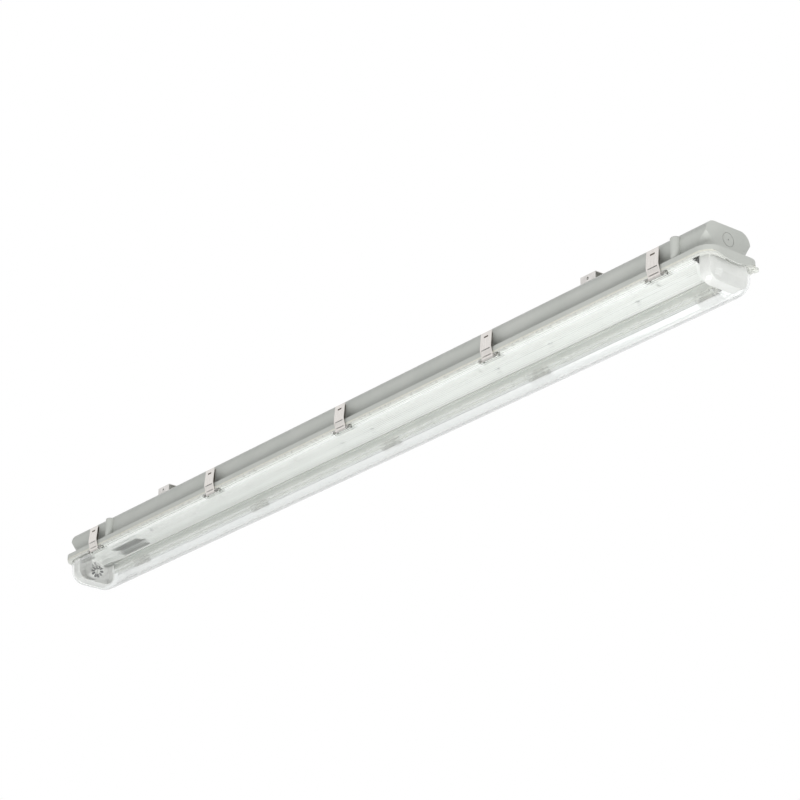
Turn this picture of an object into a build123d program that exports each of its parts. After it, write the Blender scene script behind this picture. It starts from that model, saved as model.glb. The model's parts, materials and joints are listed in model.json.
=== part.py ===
from build123d import *
import math
import os

# Vapor-tight ceiling light for one straight 26 mm lamp with a two-pin cap.
# Millimetres. +X runs along the lamp, +Y across it, +Z up to the ceiling.
# The origin is the centre of the ceiling plane that both brackets are screwed to.
# The pieces are drawn about the seam between housing and cover, and lifted into place on export.

# Lamp, which sets the length of the light
LAMP_L = 1500.0
LAMP_Z = -16.0
LAMP_CLEAR = 1.0

# Housing
END_ROOM = 35.0
WIDTH = 102.0
FLANGE_R = 23.0
FLANGE_H = 7.0
FLANGE_LEDGE = 6.8
SHOULDER_H = 4.5
SHOULDER_SIDE = 9.0
SHOULDER_END = 11.5
SHOULDER_R = 22.3
WAIST_H = 17.0
WAIST_SIDE = 9.2
WAIST_END = 11.7
WAIST_R = 22.0
CROWN_SIDE = 9.5
CROWN_END = 12.0
CROWN_R = 0.6
CROWN_EDGE = 0.5
ROOF_H = 49.5
ROOF_FILLET = 17.5
WALL = 2.2

# Skirt that hangs in a shallow arc under the middle of each end
SKIRT_T = 2.4
SKIRT_DEPTH = 8.0
SKIRT_HALF = 38.0

# Seal between flange and cover
GROOVE_OUT = 1.4
GROOVE_IN = 5.4
GROOVE_DEPTH = 4.5
SEAL_T = 3.0
SEAL_LEG = 1.4
SEAL_LIP = 1.8
SEAL_LIP_EDGE = 0.4
SEAL_SIDE = 0.05
SEAL_GAP = 0.2

# Cover
COVER_SIDE = 5.5
COVER_END = 3.0
COVER_R = 28.0
COVER_DEPTH = 44.5
COVER_WALL = 2.0
COVER_BEND_LESS = 1.5
LIP_T = 2.0
LIP_EDGE = 1.0
TONGUE_OUT = 3.1
TONGUE_IN = 5.1
RIB_PITCH = 2.4
RIB_BASE = 1.7
RIB_ROOT = 0.4
RIB_H = 0.7
RIB_COUNT = 14
RIB_TOP = 4.5
SKIRT_CLEAR = 0.5
GRIP_R = 5.0
GRIP_OUT = 4.0
GRIP_H = 5.0
GRIP_ROUND = 1.5

# Clips, with the place of the spring's toe as a share of the flange slope
CLIP_COUNT = 5
CLIP_END = 101.0
CLIP_W = 24.0
STRIP_T = 1.0
LEVER_GAP = 0.45
LEVER_H = 40.0
LEVER_KNEE_H = 17.0
LEVER_KNEE = 3.0
LEVER_TOP = 0.6
PIN_R = 1.5
PIN_CLEAR = 0.08
KNUCKLE_R = 3.0
KNUCKLE_W = 7.5
KNUCKLE_GAP = 0.4
PIN_RECESS = 1.2
LIP_CLEAR = 0.4
ROLL_TURN = 250.0
PRY_W = 9.0
PRY_H = 2.6
PRY_DROP = 7.8
SPRING_T = 0.8
SPRING_W = 17.0
SPRING_BEND = 1.7
SPRING_FOOT = 10.0
TIP_CLEAR = 0.6
SEAT_SHARE = 0.15

# Posts on the housing side, next to the first and last clip
POST_R = 7.5
POST_OUT = 8.5
POST_OFFSET = 33.0
POST_DROP = 9.0
POST_ROUND = 2.5

# Cable entry at each end: a thinned disc in a ring groove
ENTRY_R = 10.5
ENTRY_GROOVE = 0.8
ENTRY_DEPTH = 0.8
ENTRY_Z = 29.3
ENTRY_DIMPLE_R = 1.2

# Ceiling brackets and the roof rails that they hook under
BRACKET_END = 262.0
BRACKET_RISE = 17.0
BRACKET_W = 30.0
BRACKET_HALF = 22.0
BRACKET_T = 1.2
BRACKET_BEND = 1.5
BRACKET_LIP = 5.0
BRACKET_HOLE_R = 3.0
BRACKET_SIDE_HOLE_R = 2.25
BRACKET_SIDE_HOLE_DROP = 7.0
RAIL_LENGTH = 64.0
RAIL_H = 6.0
RAIL_CAP = 2.8
RAIL_STEM = 2.5
HOOK_CLEAR = 1.0

# Gear tray, with the places of its slots and bosses as shares of its length
TRAY_SHORT = 15.0
TRAY_Z = 2.0
TRAY_T = 0.8
TRAY_FLAT = 20.0
TRAY_EDGE = 0.8
TRAY_WING = 7.0
TRAY_TONGUE = 36.0
TRAY_TONGUE_HALF = 14.0
WINDOW_END = 84.0
WINDOW_L = 78.0
WINDOW_HALF = 15.0
SLOT_L = 3.0
SLOT_W = 9.0
SLOT_SHARES = (-0.373, -0.247, -0.109, 0.194, 0.446)
BOSS_R = 4.0
BOSS_SHARES = (-0.310, -0.041, 0.286, 0.408)
SCREW_R = 1.7
SCREW_HEAD_R = 3.6
SCREW_HEAD_H = 1.8
SCREW_BITE = 9.0
SCREW_SLOT_L = 4.8
SCREW_SLOT_W = 0.8
SCREW_SLOT_DEPTH = 0.8

# Lampholders
HOLDER_T = 18.0
HOLDER_R = 13.0
HOLDER_FOOT = 12.0
SHIELD_T = 2.0
SHIELD_HALF = 35.5
SHIELD_DROP = 20.0
SHIELD_TOP = 1.0
SHIELD_R = 17.5
NECK_L = 8.0
NECK_HALF = 9.5
NECK_H = 6.0
ROTOR_R = 9.0
ROTOR_CLEAR = 0.1
ROTOR_T = 6.0
ROTOR_PROUD = 0.6
ROTOR_SLOT = 3.4
ROTOR_SLOT_DEPTH = 3.0
RING_R = 7.4
RING_W = 1.4
RING_DEPTH = 0.7
ENTRY_SLOT = 6.0
CONTACT_T = 0.6
CONTACT_W = 3.0
CONTACT_H = 12.0
CONTACT_Y = 6.35
POCKET_DEPTH = 1.2

# Control gear, terminal block and wiring above the tray
GEAR_X = 160.0
GEAR_L = 280.0
GEAR_W = 30.0
GEAR_H = 22.0
GEAR_ROUND = 2.7
GEAR_FOOT = 12.0
GEAR_FOOT_T = 1.5
TERMINAL_L = 24.0
TERMINAL_W = 32.0
TERMINAL_H = 17.0
TERMINAL_CHAMFER = 3.4
POLES = 3
POLE_PITCH = 9.0
POLE_R = 2.2
WELL_DEPTH = 8.5
FUNNEL_DEPTH = 4.8
FUNNEL_DROP = 5.7
CLAMP_SET = 3.4
CLAMP_NOTCH_W = 1.1
CLAMP_NOTCH_DEPTH = 0.9
WIRE_R = 1.1
WIRE_BEND = 6.0
WIRE_LIFT = 0.1
WIRE_ENTRY = 8.0
WIRE_STUB = 18.0
WIRE_SLOPE = 18.0
WIRE_CROSS = 30.0
WIRE_STAGGER = 12.0
SUPPLY_STUB = 24.0
SUPPLY_LAND = 36.0
LANE_PITCH = 2.4
SUPPLY_LANE = -12.0
LAMP_LANE = 7.0
SIDE_LANE = 1.2
EARTH_ROOM = 91.0
EARTH_Y = -17.0
NUT_R = 3.4
NUT_H = 2.4

# Worked-out sizes and places
LENGTH = LAMP_L + 2 * END_ROOM
HALF = WIDTH / 2
SHOULDER_Z = FLANGE_H + SHOULDER_H
CROWN_H = ROOF_H - ROOF_FILLET - CROWN_EDGE
CEILING_Z = ROOF_H + BRACKET_RISE
LIP_TOP = -(SEAL_LIP + SEAL_GAP)
LIP_BOTTOM = LIP_TOP - LIP_T
ROLL_IN = PIN_R + PIN_CLEAR
ROLL_MID = ROLL_IN + STRIP_T / 2
ROLL_OUT = ROLL_IN + STRIP_T
PIN_Y = HALF + LEVER_GAP - ROLL_IN
PIN_Z = LIP_BOTTOM - LIP_CLEAR - ROLL_OUT
CLIP_PITCH = (LENGTH - 2 * CLIP_END) / (CLIP_COUNT - 1)
CLIP_PLACES = [CLIP_PITCH * (i - (CLIP_COUNT - 1) / 2) for i in range(CLIP_COUNT)]
SIDES = {"near": -1, "far": 1}
ENDS = {"left": -1, "right": 1}
ROOF_IN = ROOF_H - WALL
BRACKET_X = LENGTH / 2 - BRACKET_END
TRAY_LENGTH = LAMP_L - 2 * TRAY_SHORT
WINDOW_X = WINDOW_END - TRAY_LENGTH / 2
TERMINAL_X = WINDOW_X
EARTH_X = WINDOW_X + EARTH_ROOM
SLOT_PLACES = [share * TRAY_LENGTH for share in SLOT_SHARES]
BOSS_PLACES = [share * TRAY_LENGTH for share in BOSS_SHARES]
TRAY_TOP = TRAY_Z + TRAY_T
TRAY_HALF = HALF - SHOULDER_SIDE - WALL - TRAY_EDGE
HOLDER_FACE = LAMP_L / 2 + LAMP_CLEAR
HOLDER_X = HOLDER_FACE + HOLDER_T / 2
NECK_FACE = HOLDER_X - NECK_L / 2
GEAR_SCREWS = [GEAR_X + end * (GEAR_L + GEAR_FOOT) / 2 for end in ENDS.values()]
POLE_LANES = [POLE_PITCH * (i - (POLES - 1) / 2) for i in range(POLES)]
WIRE_Z = TRAY_TOP + WIRE_R + WIRE_LIFT
WIRE_IN_Z = TRAY_TOP + WIRE_ENTRY
COVER_HALF = HALF - COVER_SIDE
COVER_L = LENGTH - 2 * COVER_END
COVER_FILLET = COVER_R - COVER_BEND_LESS


def outline(length, width, radius, z):
    """Rounded rectangle, flat at height z."""
    return Pos(0, 0, z) * RectangleRounded(length, width, radius)


def slab(length, width, radius, z0, z1):
    """Rounded rectangle drawn out from height z0 to z1."""
    return extrude(outline(length, width, radius, z0), z1 - z0)


def plan(inset):
    """Length, width and corner radius of the flange outline, moved in by inset."""
    return LENGTH - 2 * inset, WIDTH - 2 * inset, FLANGE_R - inset


def ring(outer, inner, z0, z1):
    """Band between two insets of the flange outline."""
    return slab(*plan(outer), z0, z1) - slab(*plan(inner), z0, z1)


def box_between(x0, x1, y0, y1, z0, z1):
    """Box given by its limits."""
    middle = Pos((x0 + x1) / 2, (y0 + y1) / 2, (z0 + z1) / 2)
    return middle * Box(x1 - x0, y1 - y0, z1 - z0)


def rod_x(radius, x0, x1, y=0.0, z=0.0):
    """Round bar along X."""
    return Pos((x0 + x1) / 2, y, z) * Rot(0, 90, 0) * Cylinder(radius, x1 - x0)


def rod_y(radius, y0, y1, x=0.0, z=0.0):
    """Round bar along Y."""
    return Pos(x, (y0 + y1) / 2, z) * Rot(90, 0, 0) * Cylinder(radius, y1 - y0)


def rod_z(radius, z0, z1, x=0.0, y=0.0):
    """Round bar along Z."""
    return Pos(x, y, (z0 + z1) / 2) * Cylinder(radius, z1 - z0)


def skirt_barrel(grow):
    """Bar along the light whose underside is the arc of the end skirts, grown all round."""
    radius = (SKIRT_HALF**2 + SKIRT_DEPTH**2) / (2 * SKIRT_DEPTH)
    reach = LENGTH / 2 + grow
    return rod_x(radius + grow, -reach, reach, z=radius - SKIRT_DEPTH)


def end_skirt(clear):
    """Zone of the end skirts, grown by a clearance where a neighbour is cut back from them."""
    return ring(-clear, SKIRT_T + clear, -SKIRT_DEPTH - clear, 0) & skirt_barrel(clear)


def end_lip():
    """Arched lip of the cover that follows each end skirt from below."""
    wall = COVER_WALL / 2
    low = -(SKIRT_DEPTH + SKIRT_CLEAR + LIP_T)
    band = slab(*plan(LIP_EDGE), low, LIP_TOP)
    band -= slab(COVER_L - 2 * wall, 2 * (COVER_HALF - wall), COVER_R - wall, low, LIP_TOP)
    return band & (skirt_barrel(SKIRT_CLEAR + LIP_T) - skirt_barrel(SKIRT_CLEAR))


def grip_ear(end):
    """Small rounded ear on the lip at a far corner, to pull the cover down by."""
    step = (FLANGE_R + GRIP_OUT - GRIP_R) / math.sqrt(2)
    x = end * (LENGTH / 2 - FLANGE_R + step)
    ear = rod_z(GRIP_R, LIP_TOP - GRIP_H, LIP_TOP, x, HALF - FLANGE_R + step)
    return fillet(ear.edges().group_by(Axis.Z)[0], GRIP_ROUND)


def body_plan(side, end, radius, wall=0.0):
    """Length, width and corner radius of the housing body, moved in by its wall."""
    return LENGTH - 2 * (end + wall), WIDTH - 2 * (side + wall), radius - wall


def housing_body(wall, base):
    """Solid body moved in by its wall: its corners run from round at the waist to sharp under the crown."""
    shoulder = outline(*body_plan(SHOULDER_SIDE, SHOULDER_END, SHOULDER_R, wall), base)
    waist = outline(*body_plan(WAIST_SIDE, WAIST_END, WAIST_R, wall), WAIST_H)
    length, width, _ = body_plan(CROWN_SIDE, CROWN_END, CROWN_R, wall)
    crown = box_between(-length / 2, length / 2, -width / 2, width / 2, CROWN_H, ROOF_H - wall)
    crown = fillet(crown.edges().filter_by(Axis.X).group_by(Axis.Z)[-1], ROOF_FILLET - wall)
    return loft([shoulder, waist]) + loft([waist, outline(length, width, CROWN_R, CROWN_H)]) + crown


def housing_shell():
    """Moulded trough: flange, body, roof rails, posts, bosses and seal groove."""
    shoulder = outline(*body_plan(SHOULDER_SIDE, SHOULDER_END, SHOULDER_R), SHOULDER_Z)
    body = housing_body(0, SHOULDER_Z)
    body += loft([outline(*plan(0), FLANGE_H), shoulder])
    body += slab(*plan(0), 0, FLANGE_H)
    for place in (CLIP_PLACES[0], CLIP_PLACES[-1]):
        for side in SIDES.values():
            y = side * (HALF - CROWN_SIDE + POST_OUT - POST_R)
            post = rod_z(POST_R, FLANGE_H, ROOF_H - POST_DROP, place + POST_OFFSET, y)
            body += fillet(post.edges().group_by(Axis.Z)[-1], POST_ROUND)
    cavity = housing_body(WALL, FLANGE_H) + slab(*plan(FLANGE_LEDGE), 0, FLANGE_H)
    shell = body - cavity - ring(GROOVE_OUT, GROOVE_IN, 0, GROOVE_DEPTH) + end_skirt(0)
    for place in BOSS_PLACES:
        boss = rod_z(BOSS_R, TRAY_TOP, ROOF_IN + WALL / 2, place)
        shell += boss - rod_z(SCREW_R + PIN_CLEAR, TRAY_TOP, TRAY_TOP + SCREW_BITE, place)
    for end in ENDS.values():
        x_in = end * (LENGTH / 2 - CROWN_END - ENTRY_DEPTH)
        x_out = end * LENGTH / 2
        low, high = min(x_in, x_out), max(x_in, x_out)
        shell -= rod_x(ENTRY_R, low, high, z=ENTRY_Z) - rod_x(ENTRY_R - ENTRY_GROOVE, low, high, z=ENTRY_Z)
        shell -= rod_x(ENTRY_DIMPLE_R, low, high, z=ENTRY_Z)
        for side in SIDES.values():
            shell += roof_rail(end * BRACKET_X, side)
    return shell


def roof_rail(x, side):
    """Short hook-shaped rail on the roof, open to the outside."""
    outer = BRACKET_HALF - BRACKET_T - HOOK_CLEAR
    stem = outer - BRACKET_LIP - RAIL_STEM
    half = RAIL_LENGTH / 2
    limits = sorted((side * stem, side * (stem + RAIL_STEM)))
    rail = box_between(x - half, x + half, *limits, ROOF_H - WALL / 2, ROOF_H + RAIL_H)
    limits = sorted((side * stem, side * outer))
    return rail + box_between(x - half, x + half, *limits, ROOF_H + RAIL_H - RAIL_CAP, ROOF_H + RAIL_H)


def gasket():
    """Foam seal: a pad in the groove, a leg down its outer wall and a lip under the flange."""
    pad = ring(GROOVE_OUT + SEAL_SIDE, GROOVE_IN - SEAL_SIDE, GROOVE_DEPTH - SEAL_T, GROOVE_DEPTH)
    leg_in = GROOVE_OUT + SEAL_LEG
    leg = ring(GROOVE_OUT + SEAL_SIDE, leg_in, 0, GROOVE_DEPTH - SEAL_T)
    lip = ring(SEAL_LIP_EDGE, leg_in, -SEAL_LIP, 0) - end_skirt(SKIRT_CLEAR)
    return pad + leg + lip


def cover_void():
    """Inside of the clear cover."""
    wall = COVER_WALL
    size = (COVER_L - 2 * wall, 2 * (COVER_HALF - wall), COVER_R - wall)
    void = slab(*size, wall - COVER_DEPTH, 0)
    return fillet(void.edges().group_by(Axis.Z)[0], COVER_FILLET - wall)


def cover_ribs():
    """Fine lengthwise ridges inside both long walls, over the wall and down the bend."""
    length = COVER_L - 2 * COVER_R
    inner = COVER_HALF - COVER_WALL
    radius = COVER_FILLET - COVER_WALL
    bend_z = COVER_FILLET - COVER_DEPTH
    ribs = []
    for index in range(RIB_COUNT):
        z = LIP_TOP - RIB_TOP - index * RIB_PITCH
        y, turn = inner, 0.0
        if z < bend_z:
            turn = (bend_z - z) / radius
            y = inner - radius * (1 - math.cos(turn))
            z = bend_z - radius * math.sin(turn)
        across = Vector(math.cos(turn), -math.sin(turn))
        along = Vector(math.sin(turn), math.cos(turn))
        root = Vector(y, z) + across * RIB_ROOT
        tip = Vector(y, z) - across * RIB_H
        foot = (root + along * RIB_BASE / 2, root - along * RIB_BASE / 2)
        face = make_face(Plane.YZ * Polyline(*foot, tip, close=True))
        ribs.append(Pos(-length / 2, 0, 0) * extrude(face, length, dir=(1, 0, 0)))
    return ribs


def cover():
    """Clear trough with a lip, a tongue for the seal, ribs, ears and the knuckles of the clips."""
    shell = slab(COVER_L, 2 * COVER_HALF, COVER_R, -COVER_DEPTH, LIP_TOP)
    shell = fillet(shell.edges().group_by(Axis.Z)[0], COVER_FILLET)
    shell += slab(*plan(LIP_EDGE), LIP_BOTTOM, LIP_TOP)
    for place in CLIP_PLACES:
        for side in SIDES.values():
            shell += knuckles(place, side)
    shell -= cover_void()
    shell += ring(TONGUE_OUT, TONGUE_IN, LIP_TOP, GROOVE_DEPTH - SEAL_T - SEAL_GAP)
    shell = shell - end_skirt(SKIRT_CLEAR) + end_lip()
    for end in ENDS.values():
        shell += grip_ear(end)
    ribs = cover_ribs()
    return shell + ribs + [mirror(rib, Plane.XZ) for rib in ribs]


def knuckles(place, side):
    """Two bored ears under the lip, one each side of a clip's roll."""
    ears = Part()
    inner = CLIP_W / 2 + KNUCKLE_GAP
    for way in (-1, 1):
        x = sorted((place + way * inner, place + way * (inner + KNUCKLE_W)))
        ear = rod_x(KNUCKLE_R, *x, side * PIN_Y, PIN_Z)
        y = sorted((side * (COVER_HALF - COVER_WALL / 2), side * PIN_Y))
        ear += box_between(*x, *y, PIN_Z - KNUCKLE_R, LIP_BOTTOM + LIP_T / 2)
        ears += ear - rod_x(PIN_R, *x, side * PIN_Y, PIN_Z)
    return ears


def hinge_pins():
    """One plain steel pin tight in each pair of knuckles, ends set in."""
    half = CLIP_W / 2 + KNUCKLE_GAP + KNUCKLE_W - PIN_RECESS
    return [rod_x(PIN_R, place - half, place + half, side * PIN_Y, PIN_Z)
            for side in SIDES.values() for place in CLIP_PLACES]


def strip(path, thickness, width):
    """Sheet strip: a line in the clip's own plane, thickened both ways and drawn out along X."""
    face = trace(path, thickness)
    return Pos(-width / 2, 0, 0) * extrude(Plane.YZ * face, width, dir=(1, 0, 0))


def lever_points():
    """Foot, knee and top of the lever's middle line, outwards and up from the pin."""
    foot = (ROLL_MID, 0)
    knee = (ROLL_MID + LEVER_KNEE, LEVER_KNEE_H)
    top = (ROLL_MID + LEVER_TOP, LEVER_H)
    return foot, knee, top


def clip_lever():
    """Sprung steel lever: rolled round the pin, bowed outwards, with a pry slot at the top."""
    foot, knee, top = lever_points()
    roll = CenterArc((0, 0), ROLL_MID, 0, -ROLL_TURN)
    blade = Line(knee, top)
    bow = Spline(foot, knee, tangents=((0, 1), blade % 0))
    lever = strip([roll, bow, blade], STRIP_T, CLIP_W)
    slot_z = LEVER_H - PRY_DROP
    reach = ROLL_OUT + LEVER_KNEE
    return lever - box_between(-PRY_W / 2, PRY_W / 2, 0, reach, slot_z - PRY_H / 2, slot_z + PRY_H / 2)


def clip_spring():
    """Hairpin leaf inside the lever: its toe reaches over the slope of the housing flange, near its edge."""
    _, knee, top = lever_points()
    blade = Line(knee, top)
    up = blade % 0
    inward = Vector(-up.Y, up.X)
    start = Vector(*top) + inward * (STRIP_T + SPRING_T) / 2 - up * (SPRING_BEND + STRIP_T)
    turn = start + inward * 2 * SPRING_BEND
    crown = start + inward * SPRING_BEND + up * SPRING_BEND
    slope = Vector(SHOULDER_H, SHOULDER_SIDE).normalized()
    seat = Vector(HALF - SEAT_SHARE * SHOULDER_SIDE - PIN_Y, FLANGE_H + SEAT_SHARE * SHOULDER_H - PIN_Z)
    toe = seat + slope * (SPRING_T / 2 + TIP_CLEAR)
    hold = Line(start - up * SPRING_FOOT, start)
    bend = ThreePointArc(start, crown, turn)
    leaf = Line(turn, toe)
    return strip([hold, bend, leaf], SPRING_T, SPRING_W)


def on_clip(piece, place, side):
    """Set a clip piece, drawn at its pin for the far side, at its place."""
    placed = piece if side > 0 else mirror(piece, Plane.XZ)
    return Pos(place, side * PIN_Y, PIN_Z) * placed


def bracket(x):
    """Folded strap: ceiling plate, two legs and lips hooked under the roof rails."""
    half, thick = BRACKET_HALF, BRACKET_T
    top = ROOF_H + BRACKET_RISE
    lip_top = ROOF_H + RAIL_H - RAIL_CAP
    middle = half - thick / 2
    path = FilletPolyline(
        (-(half - thick - BRACKET_LIP), lip_top - thick / 2),
        (-middle, lip_top - thick / 2),
        (-middle, top - thick / 2),
        (middle, top - thick / 2),
        (middle, lip_top - thick / 2),
        (half - thick - BRACKET_LIP, lip_top - thick / 2),
        radius=BRACKET_BEND,
    )
    strap = strip(path, thick, BRACKET_W)
    strap -= rod_z(BRACKET_HOLE_R, top - 2 * thick, top + thick)
    hole_z = top - BRACKET_SIDE_HOLE_DROP
    strap -= rod_y(BRACKET_SIDE_HOLE_R, -half - thick, half + thick, z=hole_z)
    return Pos(x, 0, 0) * strap


def gear_tray():
    """White sheet under the control gear: window, slots, and tongues for the lampholders."""
    half, flat = TRAY_LENGTH / 2, TRAY_FLAT
    tray = box_between(-half, half, -flat, flat, TRAY_Z, TRAY_TOP)
    reach = half + TRAY_TONGUE
    under, over = TRAY_Z - TRAY_T, TRAY_TOP + TRAY_T
    tray += box_between(-reach, reach, -TRAY_TONGUE_HALF, TRAY_TONGUE_HALF, TRAY_Z, TRAY_TOP)
    window = WINDOW_L / 2
    tray -= box_between(WINDOW_X - window, WINDOW_X + window, -WINDOW_HALF, WINDOW_HALF, under, over)
    for place in SLOT_PLACES:
        tray -= box_between(place - SLOT_L / 2, place + SLOT_L / 2, -flat, SLOT_W - flat, under, over)
    screws = [(place, 0) for place in [*BOSS_PLACES, *GEAR_SCREWS]]
    for x, y in screws + [(EARTH_X, EARTH_Y)]:
        tray -= rod_z(SCREW_R + PIN_CLEAR, under, over, x, y)
    for end in ENDS.values():
        tray -= holder_neck(end * HOLDER_X, under, over, PIN_CLEAR)
    return tray


def tray_wing(side):
    """Sloped white sheet along one edge of the tray."""
    flat, half, high = side * TRAY_FLAT, side * TRAY_HALF, TRAY_Z + TRAY_WING
    section = Polyline((flat, TRAY_Z), (half, high), (half, high + TRAY_T), (flat, TRAY_TOP), close=True)
    return Pos(-TRAY_LENGTH / 2, 0, 0) * extrude(make_face(Plane.YZ * section), TRAY_LENGTH, dir=(1, 0, 0))


def holder_neck(x, low, high, clear=0.0):
    """Upper block of a lampholder, where it comes up through the tray."""
    length, half = NECK_L / 2 + clear, NECK_HALF + clear
    return box_between(x - length, x + length, -half, half, low, high)


def screw_up(x, y, seat, length):
    """Pan-head screw driven upwards, its head under the seat."""
    head = rod_z(SCREW_HEAD_R, seat - SCREW_HEAD_H, seat, x, y)
    head = fillet(head.edges().group_by(Axis.Z)[0], SCREW_HEAD_H / 2)
    under = seat - SCREW_HEAD_H
    head -= Pos(x, y, under + SCREW_SLOT_DEPTH / 2) * Box(SCREW_SLOT_L, SCREW_SLOT_W, SCREW_SLOT_DEPTH)
    return head + rod_z(SCREW_R, seat, seat + length, x, y)


def tray_screws():
    """Screws that hold the tray up against the roof bosses."""
    return [screw_up(place, 0, TRAY_Z, TRAY_T + SCREW_BITE - PIN_CLEAR) for place in BOSS_PLACES]


def hex_nut(x, y, z):
    """Plain nut on a screw's end."""
    nut = extrude(Pos(x, y, z) * RegularPolygon(NUT_R, 6), NUT_H)
    return nut - rod_z(SCREW_R + PIN_CLEAR, z, z + NUT_H, x, y)


def gear_screws():
    """Screws up through the tray and the feet of the control gear."""
    return [screw_up(place, 0, TRAY_Z, TRAY_T + GEAR_FOOT_T + NUT_H) for place in GEAR_SCREWS]


def gear_nuts():
    """Nuts on the feet of the control gear."""
    return [hex_nut(place, 0, TRAY_TOP + GEAR_FOOT_T) for place in GEAR_SCREWS]


def earth_screw():
    """Earth screw of the tray."""
    return screw_up(EARTH_X, EARTH_Y, TRAY_Z, TRAY_T + NUT_H)


def earth_nut():
    """Nut of the earth screw."""
    return hex_nut(EARTH_X, EARTH_Y, TRAY_TOP)


def control_gear():
    """Slim ballast case with a foot at each end."""
    x0, x1 = GEAR_X - GEAR_L / 2, GEAR_X + GEAR_L / 2
    case = box_between(x0, x1, -GEAR_W / 2, GEAR_W / 2, TRAY_TOP, TRAY_TOP + GEAR_H)
    case = fillet(case.edges().filter_by(Axis.X).group_by(Axis.Z)[-1], GEAR_ROUND)
    case += box_between(
        x0 - GEAR_FOOT, x1 + GEAR_FOOT, -GEAR_FOOT / 2, GEAR_FOOT / 2, TRAY_TOP, TRAY_TOP + GEAR_FOOT_T)
    for place in GEAR_SCREWS:
        case -= rod_z(SCREW_R + PIN_CLEAR, TRAY_TOP, TRAY_TOP + GEAR_FOOT_T, place)
    return case


def terminal_block():
    """Mains terminal block on the roof, over the window: screw wells below, wire funnels at the side."""
    x0, x1 = TERMINAL_X - TERMINAL_L / 2, TERMINAL_X + TERMINAL_L / 2
    low = ROOF_IN - TERMINAL_H
    block = box_between(x0, x1, -TERMINAL_W / 2, TERMINAL_W / 2, low, ROOF_IN)
    block = chamfer(block.edges().filter_by(Axis.Y).group_by(Axis.Z)[0], TERMINAL_CHAMFER)
    for y in POLE_LANES:
        block -= rod_z(POLE_R, low, low + WELL_DEPTH, TERMINAL_X, y)
        block -= rod_x(POLE_R, x0, x0 + FUNNEL_DEPTH, y, ROOF_IN - FUNNEL_DROP)
    return block


def terminal_screws():
    """Clamping screws in the wells of the terminal block."""
    low = ROOF_IN - TERMINAL_H
    screws = []
    for y in POLE_LANES:
        screw = rod_z(POLE_R - PIN_CLEAR, low + CLAMP_SET, low + WELL_DEPTH, TERMINAL_X, y)
        notch = Pos(TERMINAL_X, y, low + CLAMP_SET + CLAMP_NOTCH_DEPTH / 2)
        screws.append(screw - notch * Box(2 * POLE_R, CLAMP_NOTCH_W, CLAMP_NOTCH_DEPTH))
    return screws


def wire(*points):
    """Insulated lead: straight runs joined by arcs."""
    path = FilletPolyline(*points, radius=WIRE_BEND)
    return sweep(Plane(path @ 0, z_dir=path % 0) * Circle(WIRE_R), path)


def supply_leads():
    """Three leads from the terminal block down to the tray and along it to the control gear."""
    start = TERMINAL_X + TERMINAL_L / 2
    land = WINDOW_X + WINDOW_L / 2 + SUPPLY_LAND
    end = GEAR_X - GEAR_L / 2
    leads = []
    for index, y in enumerate(POLE_LANES):
        lane = SUPPLY_LANE + index * LANE_PITCH
        z = ROOF_IN - FUNNEL_DROP
        leads.append(wire(
            (start, y, z), (start + SUPPLY_STUB, y, z), (land, lane, WIRE_Z),
            (end - WIRE_STUB - WIRE_SLOPE, lane, WIRE_Z), (end - WIRE_STUB, lane, WIRE_IN_Z),
            (end, lane, WIRE_IN_Z)))
    return leads


def lamp_leads_right():
    """Two leads from the control gear to the right lampholder."""
    start = GEAR_X + GEAR_L / 2
    land = start + WIRE_STUB + WIRE_SLOPE
    return [wire(
        (start, y, WIRE_IN_Z), (start + WIRE_STUB, y, WIRE_IN_Z),
        (land, y, WIRE_Z), (NECK_FACE, y, WIRE_Z)) for y in (-LAMP_LANE, LAMP_LANE)]


def lamp_leads_left():
    """Two leads from the control gear, past the window, to the left lampholder."""
    start = GEAR_X - GEAR_L / 2
    past = WINDOW_X - WINDOW_L / 2
    leads = []
    for index, y in enumerate((-LAMP_LANE, LAMP_LANE)):
        lane = WINDOW_HALF + SIDE_LANE + index * LANE_PITCH
        inlet = LAMP_LANE + index * LANE_PITCH
        turn = past - index * WIRE_STAGGER
        leads.append(wire(
            (start, inlet, WIRE_IN_Z), (start - WIRE_STUB, inlet, WIRE_IN_Z),
            (start - WIRE_STUB - WIRE_CROSS, lane, WIRE_Z), (turn, lane, WIRE_Z),
            (turn - WIRE_CROSS, y, WIRE_Z), (-NECK_FACE, y, WIRE_Z)))
    return leads


def lampholder():
    """Right lampholder: slotted round body on a foot, bored for its rotor, with a shield plate behind."""
    x0, x1 = HOLDER_FACE, HOLDER_FACE + HOLDER_T
    body = rod_x(HOLDER_R, x0, x1, z=LAMP_Z)
    body += box_between(x0, x1, -HOLDER_FOOT, HOLDER_FOOT, LAMP_Z, TRAY_Z)
    body += holder_neck(HOLDER_X, TRAY_Z, TRAY_TOP + NECK_H)
    low, high = LAMP_Z - SHIELD_DROP, TRAY_Z - SHIELD_TOP
    shield = box_between(x1, x1 + SHIELD_T, -SHIELD_HALF, SHIELD_HALF, low, high)
    body += fillet(shield.edges().filter_by(Axis.X).group_by(Axis.Z)[0], SHIELD_R)
    body -= rod_x(ROTOR_R + ROTOR_CLEAR, x0, x0 + ROTOR_T, z=LAMP_Z)
    slot = ENTRY_SLOT / 2
    body -= box_between(x0, x0 + ROTOR_T, -slot, slot, LAMP_Z - HOLDER_R, LAMP_Z)
    for side in SIDES.values():
        body -= contact_block(side, POCKET_DEPTH, PIN_CLEAR)
    return body


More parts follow.
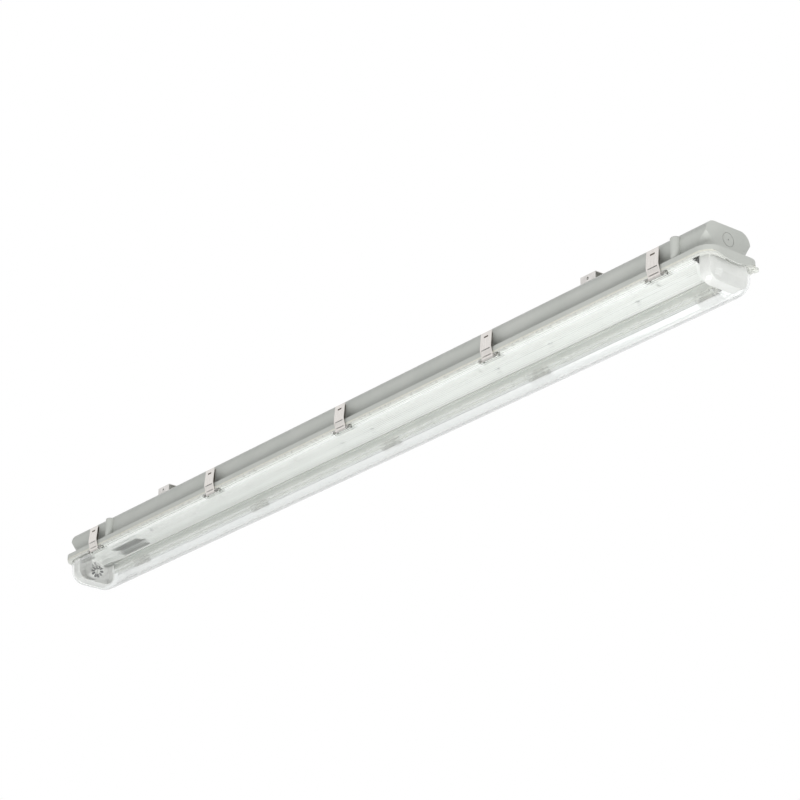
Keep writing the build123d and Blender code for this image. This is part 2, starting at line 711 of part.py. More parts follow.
def contact_block(side, thickness, grow=0.0):
    """Upright strip behind the rotor, measured from the back of its pocket in the holder."""
    back = HOLDER_FACE + ROTOR_T + POCKET_DEPTH
    width = CONTACT_W / 2 + grow
    height = CONTACT_H / 2 + grow
    y = side * CONTACT_Y
    return box_between(back - thickness, back, y - width, y + width, LAMP_Z - height, LAMP_Z + height)


def contacts():
    """Both contact strips of the right lampholder, against the back of their pockets."""
    return [contact_block(side, CONTACT_T) for side in SIDES.values()]


def rotor():
    """Right rotor: a slotted drum, proud of the holder's face, with a ring groove."""
    x0 = HOLDER_FACE - ROTOR_PROUD
    x1 = HOLDER_FACE + ROTOR_T - ROTOR_CLEAR
    drum = rod_x(ROTOR_R, x0, x1, z=LAMP_Z)
    slot = ROTOR_SLOT / 2
    drum -= box_between(x0, x0 + ROTOR_SLOT_DEPTH, -slot, slot, LAMP_Z - ROTOR_R, LAMP_Z + ROTOR_R)
    groove = rod_x(RING_R + RING_W / 2, x0, x0 + RING_DEPTH, z=LAMP_Z)
    return drum - (groove - rod_x(RING_R - RING_W / 2, x0, x0 + RING_DEPTH, z=LAMP_Z))


def as_list(piece):
    """A piece or a list of pieces, as a list."""
    return piece if isinstance(piece, list) else [piece]


def at_left(pieces):
    """The left-hand copy of a right-hand piece."""
    return [mirror(piece, Plane.YZ) for piece in as_list(pieces)]


def all_nodes():
    """Every sub-part by name."""
    nodes = {
        "housing_shell": housing_shell(),
        "gasket": gasket(),
        "cover": cover(),
        "hinge_pins": hinge_pins(),
        "gear_tray": gear_tray(),
        "tray_screws": tray_screws(),
        "control_gear": control_gear(),
        "gear_screws": gear_screws(),
        "gear_nuts": gear_nuts(),
        "earth_screw": earth_screw(),
        "earth_nut": earth_nut(),
        "terminal_block": terminal_block(),
        "terminal_screws": terminal_screws(),
        "supply_leads": supply_leads(),
        "lamp_leads_left": lamp_leads_left(),
        "lamp_leads_right": lamp_leads_right(),
        "lampholder_right": lampholder(),
        "lampholder_left": at_left(lampholder()),
        "rotor_right": rotor(),
        "rotor_left": at_left(rotor()),
        "contacts_right": contacts(),
        "contacts_left": at_left(contacts()),
    }
    for name, side in SIDES.items():
        nodes[f"tray_wing_{name}"] = tray_wing(side)
    for name, end in ENDS.items():
        nodes[f"bracket_{name}"] = bracket(end * BRACKET_X)
    lever, spring = clip_lever(), clip_spring()
    for name, side in SIDES.items():
        for number, place in enumerate(CLIP_PLACES, 1):
            nodes[f"clip_lever_{name}_{number}"] = on_clip(lever, place, side)
            nodes[f"clip_spring_{name}_{number}"] = on_clip(spring, place, side)
    return nodes


os.makedirs("parts", exist_ok=True)
for node, pieces in all_nodes().items():
    solids = [solid for piece in as_list(pieces) for solid in piece.solids()]
    lifted = Compound(children=[Pos(0, 0, -CEILING_Z) * solid for solid in solids])
    export_step(lifted, f"parts/{node}.step")
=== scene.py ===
import json
import math

import bmesh
import bpy
from mathutils import Matrix, Vector


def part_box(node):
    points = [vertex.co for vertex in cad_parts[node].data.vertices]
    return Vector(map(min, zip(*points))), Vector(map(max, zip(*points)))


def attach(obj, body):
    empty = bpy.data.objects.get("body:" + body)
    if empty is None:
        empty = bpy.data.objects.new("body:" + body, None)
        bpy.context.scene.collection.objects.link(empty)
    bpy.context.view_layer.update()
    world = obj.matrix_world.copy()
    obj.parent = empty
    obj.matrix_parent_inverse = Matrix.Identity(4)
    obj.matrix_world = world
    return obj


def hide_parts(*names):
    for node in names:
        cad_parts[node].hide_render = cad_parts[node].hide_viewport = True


# Sizes are in millimetres. Heights of the cover and the shields are measured from the seam
MM = 0.001
SEAM = -66.5

# Cover
COVER_LENGTH = 1564.0
COVER_WIDTH = 91.0
COVER_CORNER = 28.0
COVER_BEND = 26.5
COVER_DEPTH = 44.5
COVER_WALL = 2.0
HOLLOW_TOP = 10.0
LIP_TOP = -2.0
LIP_LOW = LIP_TOP - 2.1
LIP_MARGIN = 0.3
ARCH_LOW = -12.0
CUT_BLOCK = (1700.0, 200.0, 60.0)

# Ridges inside the cover's long walls
RIDGES = 14
RIDGE_SIDES = 3
RIDGE_PITCH = 2.4
RIDGE_TOP = LIP_TOP - 4.5
RIDGE_HALF = 0.6
RIDGE_HEIGHT = 0.16

# Shields behind the lampholders
SHIELD_FRONT = 753.0
SHIELD_BACK = 769.0
SHIELD_HALF = 35.5
SHIELD_LOW = -36.0
SHIELD_HIGH = 1.0
SHIELD_CORNER = 17.5
SHIELD_WALL = 2.0
CUT_PAST = 5.0

# Lamp seats, with teeth sized along the light, round the ring and outwards
LAMP_AXIS = SEAM - 16.0
RING_EDGE = 5.6
RING_TEETH = 10
TOOTH_MIDDLE = 10.9
TOOTH_SIZE = (0.5, 4.2, 3.4)

# Levers, with slots sized along the light, through the strip and upwards
LEVER_SLOT = (18.0, 60.0, 1.3)
LEVER_SLOT_RISES = (5.5, 14.5)

# Edges and shading, with angles in degrees
WELD = 0.002
SLIVER = 0.001
FLAT = 0.4
CREASE = 32.0
EASED_EDGE = 0.4
STRIP_EDGE = 0.12
TOOTH_EDGE = 0.15
EDGE_STEPS = 2
CORNER_STEPS = 16
BEND_STEPS = 14
SHIELD_STEPS = 12
ROUNDING = {"profile": 0.5, "affect": "EDGES", "material": -1}

# Divides a coordinate until it no longer counts
FAR = 1000.0

# Stage, light and camera: places in metres, angles in degrees, lens and sensor in millimetres
FLOOR_HALF = 400.0
FLOOR_LEVEL = -7.0
FLOOR_GLOW = 0.2
STUDIO_TINT = (0.97, 0.985, 0.975, 1)
STUDIO_LIGHT = 0.6
BACKDROP_LIGHT = 1.0
CAMERA_PLACE = (2.99936, -2.35397, -1.63806)
CAMERA_TILT = 113.1025
CAMERA_TURN = 51.126
CAMERA_LENS = 121.5
CAMERA_SENSOR = 36.0

# Nodes by how their skins are made
EASED_SKINS = ("housing_shell", "bracket_left", "bracket_right")
PLAIN_SKINS = (
    "gasket", "gear_tray", "tray_wing_near", "tray_wing_far",
    "lampholder_left", "lampholder_right", "rotor_left", "rotor_right")

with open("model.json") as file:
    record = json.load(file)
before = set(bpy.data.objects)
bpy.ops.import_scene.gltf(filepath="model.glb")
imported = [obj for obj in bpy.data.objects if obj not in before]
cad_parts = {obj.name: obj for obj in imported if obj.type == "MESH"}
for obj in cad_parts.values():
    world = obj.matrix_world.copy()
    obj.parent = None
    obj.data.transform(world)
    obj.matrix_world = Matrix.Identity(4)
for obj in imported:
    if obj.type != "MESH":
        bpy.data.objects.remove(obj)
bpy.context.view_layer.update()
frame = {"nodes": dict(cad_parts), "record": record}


# Finishes

class Finish:
    """One procedural material on Object coordinates, built up a node at a time."""

    def __init__(self, name, **sockets):
        self.material = bpy.data.materials.new(name)
        self.material.use_nodes = True
        self.nodes = self.material.node_tree.nodes
        self.links = self.material.node_tree.links
        self.skin = self.nodes["Principled BSDF"]
        self.place = self.nodes.new("ShaderNodeTexCoord").outputs["Object"]
        for socket, value in sockets.items():
            self.skin.inputs[socket.replace("_", " ")].default_value = value

    def grain(self, size, detail, stretch=(1, 1, 1)):
        """Noise with grains about `size` millimetres across, drawn out along an axis by `stretch`."""
        mapping = self.nodes.new("ShaderNodeMapping")
        mapping.inputs["Scale"].default_value = [1 / (size * MM * s) for s in stretch]
        self.links.new(self.place, mapping.inputs["Vector"])
        noise = self.nodes.new("ShaderNodeTexNoise")
        noise.inputs["Scale"].default_value = 1.0
        noise.inputs["Detail"].default_value = detail
        self.links.new(mapping.outputs["Vector"], noise.inputs["Vector"])
        return noise.outputs["Fac"]

    def from_line(self, height, scale=(1, 1, 1)):
        """Coordinates from a line along X at a height, divided by `scale`."""
        mapping = self.nodes.new("ShaderNodeMapping")
        mapping.vector_type = "TEXTURE"
        mapping.inputs["Location"].default_value = (0, 0, height * MM)
        mapping.inputs["Scale"].default_value = scale
        self.links.new(self.place, mapping.inputs["Vector"])
        return mapping.outputs["Vector"]

    def reach(self, height, radius):
        """Distance from a line along X at a height, which is 0.5 at the radius."""
        across = 2 * radius * MM
        length = self.nodes.new("ShaderNodeVectorMath")
        length.operation = "LENGTH"
        self.links.new(self.from_line(height, (FAR, across, across)), length.inputs[0])
        return length.outputs["Value"]

    def turn(self, height, teeth):
        """Wave round a line along X at a height, with a trough for every tooth."""
        split = self.nodes.new("ShaderNodeSeparateXYZ")
        self.links.new(self.from_line(height), split.inputs["Vector"])
        angle = self.step("ARCTAN2", split.outputs["Y"], split.outputs["Z"])
        return self.step("COSINE", self.step("MULTIPLY", angle, teeth))

    def step(self, kind, first, second=None):
        """One sum on a value, with another value or a number."""
        node = self.nodes.new("ShaderNodeMath")
        node.operation = kind
        self.links.new(first, node.inputs[0])
        if isinstance(second, (int, float)):
            node.inputs[1].default_value = second
        elif second:
            self.links.new(second, node.inputs[1])
        return node.outputs["Value"]

    def spread(self, value, low, high, start=0.3, end=0.7):
        """A value laid over a range of numbers."""
        node = self.nodes.new("ShaderNodeMapRange")
        ends = {"From Min": start, "From Max": end, "To Min": low, "To Max": high}
        for socket, number in ends.items():
            node.inputs[socket].default_value = number
        self.links.new(value, node.inputs["Value"])
        return node.outputs["Result"]

    def tint(self, value, first, last, start=0.3, end=0.7):
        """A value laid between two colours, as the base colour."""
        ramp = self.nodes.new("ShaderNodeValToRGB")
        ramp.color_ramp.elements[0].position = start
        ramp.color_ramp.elements[1].position = end
        ramp.color_ramp.elements[0].color = (*first, 1)
        ramp.color_ramp.elements[1].color = (*last, 1)
        self.links.new(value, ramp.inputs["Fac"])
        self.links.new(ramp.outputs["Color"], self.skin.inputs["Base Color"])

    def gloss(self, value, low, high):
        """A value laid over a range of roughness."""
        self.links.new(self.spread(value, low, high), self.skin.inputs["Roughness"])

    def relief(self, value, depth, strength):
        """A value as a height of `depth` millimetres, which completes the material."""
        bump = self.nodes.new("ShaderNodeBump")
        bump.inputs["Distance"].default_value = depth * MM
        bump.inputs["Strength"].default_value = strength
        self.links.new(value, bump.inputs["Height"])
        self.links.new(bump.outputs["Normal"], self.skin.inputs["Normal"])
        return self.material


def moulded_grey():
    """Light grey moulded housing: fine spark-eroded grain, a little cloudiness."""
    finish = Finish("moulded_grey", Specular_IOR_Level=0.45)
    finish.tint(finish.grain(60, 3), (0.52, 0.535, 0.505), (0.575, 0.585, 0.555))
    finish.gloss(finish.grain(9, 2), 0.36, 0.48)
    return finish.relief(finish.grain(0.6, 2), 0.03, 0.35)


def cream_foam():
    """Cream sealing strip with open cells."""
    finish = Finish("cream_foam", Specular_IOR_Level=0.2)
    finish.tint(finish.grain(3, 3), (0.66, 0.65, 0.585), (0.78, 0.77, 0.70))
    finish.gloss(finish.grain(2, 2), 0.75, 0.92)
    return finish.relief(finish.grain(0.5, 3), 0.12, 0.8)


def clear_cover():
    """Clear polycarbonate with a breath of haze."""
    finish = Finish("clear_cover", IOR=1.585, Transmission_Weight=1.0)
    finish.tint(finish.grain(80, 2), (0.965, 0.98, 0.975), (0.985, 0.995, 0.99))
    finish.gloss(finish.grain(14, 2), 0.015, 0.05)
    return finish.relief(finish.grain(35, 1), 0.05, 0.12)


def pale_lip():
    """Lip and ears of the cover, where the clear plastic is thick and looks milky."""
    finish = Finish("pale_lip", IOR=1.585, Transmission_Weight=0.15)
    finish.tint(finish.grain(50, 2), (0.65, 0.66, 0.625), (0.73, 0.74, 0.70))
    finish.gloss(finish.grain(10, 2), 0.22, 0.36)
    return finish.relief(finish.grain(30, 1), 0.05, 0.12)


def bright_strip():
    """Bright rolled stainless of the levers and hinge pins, grain along the roll direction."""
    finish = Finish("bright_strip", Metallic=1.0)
    finish.tint(finish.grain(0.25, 2, (1, 40, 40)), (0.66, 0.63, 0.60), (0.82, 0.79, 0.76))
    finish.gloss(finish.grain(0.3, 2, (1, 60, 60)), 0.16, 0.30)
    return finish.relief(finish.grain(0.2, 2, (1, 60, 60)), 0.01, 0.2)


def spring_in_painted_shade():
    """Leaf spring, dull, coloured dark as painted shade for the shadowed gap behind its lever."""
    finish = Finish("spring_in_painted_shade", Metallic=1.0)
    finish.tint(finish.grain(0.4, 2, (1, 30, 30)), (0.16, 0.14, 0.12), (0.27, 0.24, 0.21))
    finish.gloss(finish.grain(0.5, 2, (1, 40, 40)), 0.34, 0.48)
    return finish.relief(finish.grain(0.3, 2, (1, 40, 40)), 0.01, 0.2)


def satin_strip():
    """Satin stainless strap of the ceiling brackets."""
    finish = Finish("satin_strip", Metallic=1.0)
    finish.tint(finish.grain(0.3, 2, (50, 1, 50)), (0.60, 0.58, 0.56), (0.76, 0.74, 0.72))
    finish.gloss(finish.grain(0.4, 2, (50, 1, 50)), 0.26, 0.40)
    return finish.relief(finish.grain(0.3, 2, (50, 1, 50)), 0.01, 0.25)


def white_enamel():
    """White enamelled sheet with a faint orange peel."""
    finish = Finish("white_enamel", Specular_IOR_Level=0.5)
    finish.tint(finish.grain(120, 3), (0.83, 0.85, 0.81), (0.88, 0.895, 0.86))
    finish.gloss(finish.grain(12, 2), 0.28, 0.40)
    return finish.relief(finish.grain(1.4, 1), 0.03, 0.25)


def white_moulding():
    """White lampholder moulding with a soft gloss."""
    finish = Finish("white_moulding")
    finish.tint(finish.grain(15, 2), (0.78, 0.78, 0.76), (0.84, 0.84, 0.82))
    finish.gloss(finish.grain(4, 2), 0.34, 0.46)
    return finish.relief(finish.grain(0.8, 1), 0.015, 0.2)


def rotor_with_painted_gap_shade():
    """Turning lamp seat: pale in the middle, with a ring of dark painted shade round it, standing in
    for the shaded gaps between the seat's teeth.
    """
    finish = Finish("rotor_with_painted_gap_shade")
    ring = finish.spread(finish.reach(LAMP_AXIS, RING_EDGE), 0, 1, 0.49, 0.51)
    teeth = finish.spread(finish.turn(LAMP_AXIS, RING_TEETH), 0, 1, 0.6, 0.2)
    # Painted shade: near black where the ring and the tooth wave meet, for the shaded gaps between the
    # seat's teeth
    gap_shade_mask = finish.step("MINIMUM", ring, teeth)
    finish.tint(gap_shade_mask, (0.66, 0.66, 0.64), (0.03, 0.03, 0.033), 0.1, 0.9)
    finish.gloss(finish.grain(3, 2), 0.35, 0.5)
    return finish.relief(finish.grain(0.5, 2), 0.02, 0.3)


def teeth_in_painted_shade():
    """Near-black teeth round a lamp seat: painted shade, standing in for the shaded gaps of the seat's
    ring.
    """
    finish = Finish("teeth_in_painted_shade")
    finish.tint(finish.grain(4, 2), (0.025, 0.025, 0.028), (0.05, 0.05, 0.055))
    finish.gloss(finish.grain(2, 2), 0.38, 0.52)
    return finish.relief(finish.grain(0.5, 2), 0.02, 0.3)


def zinc_plate():
    """Zinc-plated screws and nuts."""
    finish = Finish("zinc_plate", Metallic=1.0)
    finish.tint(finish.grain(1.2, 3), (0.52, 0.53, 0.54), (0.70, 0.70, 0.69))
    finish.gloss(finish.grain(0.8, 3), 0.25, 0.42)
    return finish.relief(finish.grain(0.3, 2), 0.01, 0.2)


def plain_brass():
    """Brass contacts and clamp screws."""
    finish = Finish("plain_brass", Metallic=1.0)
    finish.tint(finish.grain(1.5, 3), (0.55, 0.40, 0.16), (0.72, 0.55, 0.26))
    finish.gloss(finish.grain(0.8, 3), 0.22, 0.38)
    return finish.relief(finish.grain(0.3, 2), 0.01, 0.2)


def case_plastic():
    """Off-white moulded case of the control gear and terminal block."""
    finish = Finish("case_plastic")
    finish.tint(finish.grain(18, 3), (0.70, 0.70, 0.67), (0.78, 0.78, 0.75))
    finish.gloss(finish.grain(5, 2), 0.42, 0.56)
    return finish.relief(finish.grain(0.5, 2), 0.03, 0.35)


def lead_cover(name, dark, light):
    """Extruded plastic cover of a lead."""
    finish = Finish(name)
    finish.tint(finish.grain(6, 2), dark, light)
    finish.gloss(finish.grain(2, 2), 0.35, 0.5)
    return finish.relief(finish.grain(0.7, 2), 0.02, 0.25)


FINISHES = {
    "housing_grey": moulded_grey(),
    "seal_cream": cream_foam(),
    "cover_clear": clear_cover(),
    "spring_steel": bright_strip(),
    "bracket_steel": satin_strip(),
    "tray_white": white_enamel(),
    "fastener_steel": zinc_plate(),
    "gear_case": case_plastic(),
    "terminal_white": case_plastic(),
    "holder_white": white_moulding(),
    "rotor_grey": rotor_with_painted_gap_shade(),
    "contact_brass": plain_brass(),
    "lead_supply": lead_cover("lead_brown", (0.10, 0.05, 0.03), (0.15, 0.08, 0.05)),
    "lead_lamp": lead_cover("lead_white", (0.68, 0.68, 0.66), (0.76, 0.76, 0.74)),
}
LIP_FINISH = pale_lip()
SPRING_SHADE_FINISH = spring_in_painted_shade()
TOOTH_SHADE_FINISH = teeth_in_painted_shade()
SLOTS = {part["node"]: part["material_slot"] for part in frame["record"]["subparts"]}
BODY = {node: body for body, nodes in frame["record"]["behaviour"]["bodies"].items() for node in nodes}


# Shapes

def merged(node):
    """The node's mesh with its doubled corners joined."""
    shape = bmesh.new()
    shape.from_mesh(frame["nodes"][node].data)
    bmesh.ops.remove_doubles(shape, verts=shape.verts, dist=WELD * MM)
    return shape


def set_down(shape, name):
    """A shape put into the scene as an object."""
    mesh = bpy.data.meshes.new(name)
    shape.to_mesh(mesh)
    shape.free()
    piece = bpy.data.objects.new(name, mesh)
    bpy.context.scene.collection.objects.link(piece)
    return piece


def joined(base, steps):
    """The base after cutting or adding further solids, as one closed mesh."""
    for kind, tool in steps:
        step = base.modifiers.new(kind.lower(), "BOOLEAN")
        step.operation = kind
        step.solver = "MANIFOLD"
        step.object = tool
    bpy.context.view_layer.update()
    done = base.evaluated_get(bpy.context.evaluated_depsgraph_get())
    shape = bmesh.new()
    shape.from_mesh(done.to_mesh())
    for piece in (base, *(tool for _, tool in steps)):
        bpy.data.objects.remove(piece)
    return shape


def block(size, middle):
    """Block of a size round a middle point, both in millimetres."""
    shape = bmesh.new()
    bmesh.ops.create_cube(shape, size=MM)
    bmesh.ops.scale(shape, verts=shape.verts, vec=size)
    bmesh.ops.translate(shape, verts=shape.verts, vec=[place * MM for place in middle])
    return shape


def shade(shape):
    """Smooth faces, with creases kept where the faces meet at more than the crease angle."""
    for face in shape.faces:
        face.smooth = True
    for line in shape.edges:
        line.smooth = line.calc_face_angle(0.0) < math.radians(CREASE)


def trough(inset, high):
    """The cover's trough as a solid, moved in all round.

    Its upright corners are round, and a round bend leads into its floor.
    """
    low = inset - COVER_DEPTH
    size = (COVER_LENGTH - 2 * inset, COVER_WIDTH - 2 * inset, high - low)
    shape = block(size, (0, 0, SEAM + (high + low) / 2))
    uprights = [line for line in shape.edges if abs(line.verts[0].co.z - line.verts[1].co.z) > MM]
    corner = (COVER_CORNER - inset) * MM
    bmesh.ops.bevel(shape, geom=uprights, offset=corner, segments=CORNER_STEPS, **ROUNDING)
    floor_z = (SEAM + low + SLIVER) * MM
    rim = [line for line in shape.edges if all(point.co.z < floor_z for point in line.verts)]
    bend = (COVER_BEND - inset) * MM
    bmesh.ops.bevel(shape, geom=rim, offset=bend, segments=BEND_STEPS, **ROUNDING)
    return shape


def cover_ridges():
    """Fine lengthwise ridges inside both long walls, over the wall and down the bend."""
    shape = bmesh.new()
    radius, bend_z = COVER_BEND - COVER_WALL, COVER_BEND - COVER_DEPTH
    for index in range(RIDGES):
        drop = RIDGE_TOP - index * RIDGE_PITCH
        turn = max(0.0, (bend_z - drop) / radius)
        y = COVER_WIDTH / 2 - COVER_WALL - radius * (1 - math.cos(turn))
        z = drop if turn == 0 else bend_z - radius * math.sin(turn)
        for side in (-1, 1):
            along = Vector((0, side * math.sin(turn), math.cos(turn)))
            inward = Vector((0, -side * math.cos(turn), math.sin(turn)))
            place = Vector((0, side * y, SEAM + z)) * MM
            turned = Matrix((along, inward, along.cross(inward))).transposed().to_4x4()
            size = Matrix.Diagonal((RIDGE_HALF, RIDGE_HEIGHT, COVER_LENGTH - 2 * COVER_CORNER, 1))
            bmesh.ops.create_cone(
                shape, cap_ends=True, segments=RIDGE_SIDES, radius1=MM, radius2=MM, depth=MM,
                matrix=Matrix.Translation(place) @ turned @ size)
    return shape


def beyond_trough(point):
    """Whether a point of the cover, in millimetres, is on its lip or on an ear."""
    past_x = max(0.0, abs(point.x) - COVER_LENGTH / 2 + COVER_CORNER)
    past_y = max(0.0, abs(point.y) - COVER_WIDTH / 2 + COVER_CORNER)
    outside = math.hypot(past_x, past_y) > COVER_CORNER + LIP_MARGIN
    at_corner = past_x > 0 and past_y > 0
    return outside and (at_corner or point.z > SEAM + LIP_LOW)


def shield_block(inset, front, back, high):
    """Block with the outline of a holder's shield, moved in at its sides and below.

    Its lower corners are round.
    """
    low = SHIELD_LOW + inset
    middle_z = SEAM + (high + low) / 2
    size = (back - front, 2 * (SHIELD_HALF - inset), high - low)
    shape = block(size, ((front + back) / 2, 0, middle_z))
    corners = [
        line for line in shape.edges
        if all(point.co.z < middle_z * MM for point in line.verts)
        and abs(line.verts[0].co.x - line.verts[1].co.x) > MM]
    corner = (SHIELD_CORNER - inset) * MM
    bmesh.ops.bevel(shape, geom=corners, offset=corner, segments=SHIELD_STEPS, **ROUNDING)
    return shape


def lever_slots(node):
    """Two slots across the lower end of a clip's lever, as a solid to cut with."""
    low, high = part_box(node)
    shape = bmesh.new()
    for rise in LEVER_SLOT_RISES:
        place = Matrix.Translation(((low[0] + high[0]) / 2, (low[1] + high[1]) / 2, low[2] + rise * MM))
        bmesh.ops.create_cube(shape, size=MM, matrix=place @ Matrix.Diagonal((*LEVER_SLOT, 1)))
    return shape


# Pieces

def stand_for(piece, node):
    """The piece takes the node's place in the picture and moves with its body."""
    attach(piece, BODY[node])
    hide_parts(node)


def even_normals(piece):
    """Flat faces shade flat beside round ones."""
    weighted = piece.modifiers.new("flat_faces", "WEIGHTED_NORMAL")
    weighted.keep_sharp = True


def rounded_copy(node, edge, cut=None):
    """The node's shape as one closed skin, less what is cut out of it.

    Its flat faces are joined up and its sharp edges eased by `edge` millimetres.
    """
    shape = merged(node)
    if cut:
        shape = joined(set_down(shape, "whole"), [("DIFFERENCE", set_down(cut, "cut"))])
    bmesh.ops.dissolve_limit(
        shape, angle_limit=math.radians(FLAT), verts=shape.verts, edges=shape.edges,
        use_dissolve_boundaries=False)
    shade(shape)
    piece = set_down(shape, node + "_skin")
    piece.data.materials.append(FINISHES[SLOTS[node]])
    if edge:
        bevel = piece.modifiers.new("eased_edges", "BEVEL")
        bevel.limit_method = "ANGLE"
        bevel.angle_limit = math.radians(CREASE)
        bevel.width = edge * MM
        bevel.segments = EDGE_STEPS
        bevel.harden_normals = True
    even_normals(piece)
    stand_for(piece, node)
    return piece


def clear_cover_piece():
    """The cover with a finely rounded trough; lip, knuckles, arches and ears are the node's own."""
    below = block(CUT_BLOCK, (0, 0, SEAM + ARCH_LOW - CUT_BLOCK[2] / 2))
    upper = joined(set_down(merged("cover"), "whole"), [("DIFFERENCE", set_down(below, "below"))])
    shape = joined(set_down(trough(0, LIP_TOP), "shell"), [
        ("DIFFERENCE", set_down(trough(COVER_WALL, HOLLOW_TOP), "hollow")),
        ("UNION", set_down(upper, "upper")),
        ("UNION", set_down(cover_ridges(), "ridges"))])
    bmesh.ops.dissolve_degenerate(shape, dist=SLIVER * MM, edges=shape.edges)
    shade(shape)
    for face in shape.faces:
        face.material_index = int(beyond_trough(face.calc_center_median() / MM))
    piece = set_down(shape, "cover_skin")
    piece.data.materials.append(FINISHES["cover_clear"])
    piece.data.materials.append(LIP_FINISH)
    even_normals(piece)
    stand_for(piece, "cover")
    # Light passes through the clear cover to what it encloses
    piece.visible_shadow = False
    piece.visible_diffuse = False


def shield_rim(name, end):
    """Side walls of a holder's shield, which run from its plate towards the lamp."""
    outer = shield_block(0, SHIELD_FRONT, SHIELD_BACK, SHIELD_HIGH)
    inner = shield_block(
        SHIELD_WALL, SHIELD_FRONT - CUT_PAST, SHIELD_BACK + CUT_PAST, SHIELD_HIGH + CUT_PAST)
    shape = joined(set_down(outer, "outer"), [("DIFFERENCE", set_down(inner, "inner"))])
    if end < 0:
        turned = Matrix.Rotation(math.pi, 3, "Z")
        bmesh.ops.rotate(shape, verts=shape.verts, cent=(0, 0, 0), matrix=turned)
    shade(shape)
    piece = set_down(shape, name)
    piece.data.materials.append(FINISHES["holder_white"])
    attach(piece, "housing")


def seat_teeth(name, holder, end):
    """Ring of small teeth on a holder's face, round its lamp seat, coloured near black as painted shade
    for the gaps in the ring.
    """
    low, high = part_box(holder)
    face = low[0] if end > 0 else high[0]
    place = Matrix.Translation((face, 0, LAMP_AXIS * MM))
    tooth = Matrix.Translation((0, 0, TOOTH_MIDDLE * MM)) @ Matrix.Diagonal((*TOOTH_SIZE, 1))
    shape = bmesh.new()
    for index in range(RING_TEETH):
        turned = Matrix.Rotation((index + 0.5) * math.tau / RING_TEETH, 4, "X")
        bmesh.ops.create_cube(shape, size=MM, matrix=place @ turned @ tooth)
    bmesh.ops.bevel(
        shape, geom=shape.edges[:], offset=TOOTH_EDGE * MM, segments=EDGE_STEPS, **ROUNDING)
    shade(shape)
    piece = set_down(shape, name)
    piece.data.materials.append(TOOTH_SHADE_FINISH)
    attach(piece, "housing")


for node, part in frame["nodes"].items():
    part.data.materials.clear()
    part.data.materials.append(FINISHES[SLOTS[node]])

for node in EASED_SKINS:
    rounded_copy(node, EASED_EDGE)
clear_cover_piece()
shield_rim("shield_rim_right", 1)
shield_rim("shield_rim_left", -1)
seat_teeth("seat_teeth_right", "lampholder_right", 1)
seat_teeth("seat_teeth_left", "lampholder_left", -1)
for node in PLAIN_SKINS:
    rounded_copy(node, 0)
for node in frame["nodes"]:
    if node.startswith("clip_lever"):
        rounded_copy(node, STRIP_EDGE, lever_slots(node))
    elif node.startswith("clip_spring"):
        # The springs get a dark finish: painted shade for the shadowed gap behind each lever
        rounded_copy(node, STRIP_EDGE).data.materials[0] = SPRING_SHADE_FINISH


# Stage, light and camera

def seen_rays(nodes, links):
    """1 for what the eye sees, directly, in gloss or through clear plastic, and 0 for light."""
    path = nodes.new("ShaderNodeLightPath")
    found = path.outputs["Is Camera Ray"]
    for ray in ("Is Transmission Ray", "Is Glossy Ray"):
        also = nodes.new("ShaderNodeMath")
        also.operation = "MAXIMUM"
        links.new(found, also.inputs[0])
        links.new(path.outputs[ray], also.inputs[1])
        found = also.outputs[0]
    return found


def floor():
    """Plain pale floor far below the light."""
    shape = bmesh.new()
    bmesh.ops.create_grid(shape, x_segments=1, y_segments=1, size=FLOOR_HALF)
    bmesh.ops.translate(shape, verts=shape.verts, vec=(0, 0, FLOOR_LEVEL))
    ground = set_down(shape, "floor")
    finish = Finish("pale_floor", Roughness=0.9, Emission_Color=(1, 1, 1, 1))
    finish.tint(finish.grain(4000, 2), (0.84, 0.84, 0.84), (0.87, 0.87, 0.87))
    glow = finish.spread(seen_rays(finish.nodes, finish.links), 0, FLOOR_GLOW, 0, 1)
    finish.links.new(glow, finish.skin.inputs["Emission Strength"])
    ground.data.materials.append(finish.material)


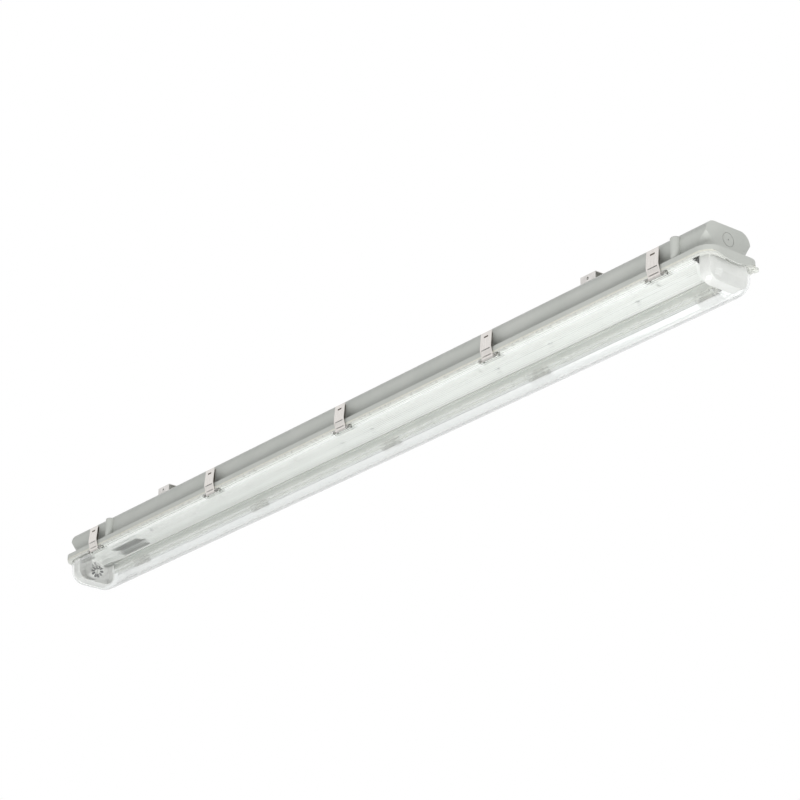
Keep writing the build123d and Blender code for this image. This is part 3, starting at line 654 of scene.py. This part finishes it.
def studio_world():
    """White to the eye, and in gloss and clear plastic; soft grey as light."""
    world = bpy.data.worlds.new("studio")
    bpy.context.scene.world = world
    world.use_nodes = True
    nodes, links = world.node_tree.nodes, world.node_tree.links
    nodes.clear()
    light, backdrop = nodes.new("ShaderNodeBackground"), nodes.new("ShaderNodeBackground")
    light.inputs["Color"].default_value = STUDIO_TINT
    light.inputs["Strength"].default_value = STUDIO_LIGHT
    backdrop.inputs["Color"].default_value = (1, 1, 1, 1)
    backdrop.inputs["Strength"].default_value = BACKDROP_LIGHT
    mix, out = nodes.new("ShaderNodeMixShader"), nodes.new("ShaderNodeOutputWorld")
    links.new(seen_rays(nodes, links), mix.inputs["Fac"])
    links.new(light.outputs[0], mix.inputs[1])
    links.new(backdrop.outputs[0], mix.inputs[2])
    links.new(mix.outputs[0], out.inputs["Surface"])


def soft_lamp(name, place, aim, size, watts):
    """Square soft box aimed at a point; gloss shows the white studio in its place."""
    lamp = bpy.data.lights.new(name, "AREA")
    lamp.shape = "SQUARE"
    lamp.size = size
    lamp.energy = watts
    box = bpy.data.objects.new(name, lamp)
    bpy.context.scene.collection.objects.link(box)
    box.location = place
    box.rotation_euler = (Vector(aim) - Vector(place)).to_track_quat("-Z", "Y").to_euler()
    box.visible_glossy = False


def photo_camera():
    """Camera at the photograph's place: below the light, off its right end."""
    lens = bpy.data.cameras.new("photo_camera")
    lens.sensor_width = CAMERA_SENSOR
    lens.lens = CAMERA_LENS
    camera = bpy.data.objects.new("photo_camera", lens)
    bpy.context.scene.collection.objects.link(camera)
    camera.location = CAMERA_PLACE
    camera.rotation_euler = (math.radians(CAMERA_TILT), 0, math.radians(CAMERA_TURN))
    bpy.context.scene.camera = camera


floor()
studio_world()
soft_lamp("key", place=(1.6, -1.9, -3.1), aim=(0, 0, -0.07), size=1.6, watts=96)
soft_lamp("end", place=(4.0, 0.4, -0.8), aim=(0.7, 0, -0.05), size=2.6, watts=34)
soft_lamp("fill", place=(-1.4, 2.0, 3.2), aim=(0, 0, -0.04), size=2.4, watts=40)
photo_camera()
bpy.context.scene.view_settings.view_transform = "Standard"
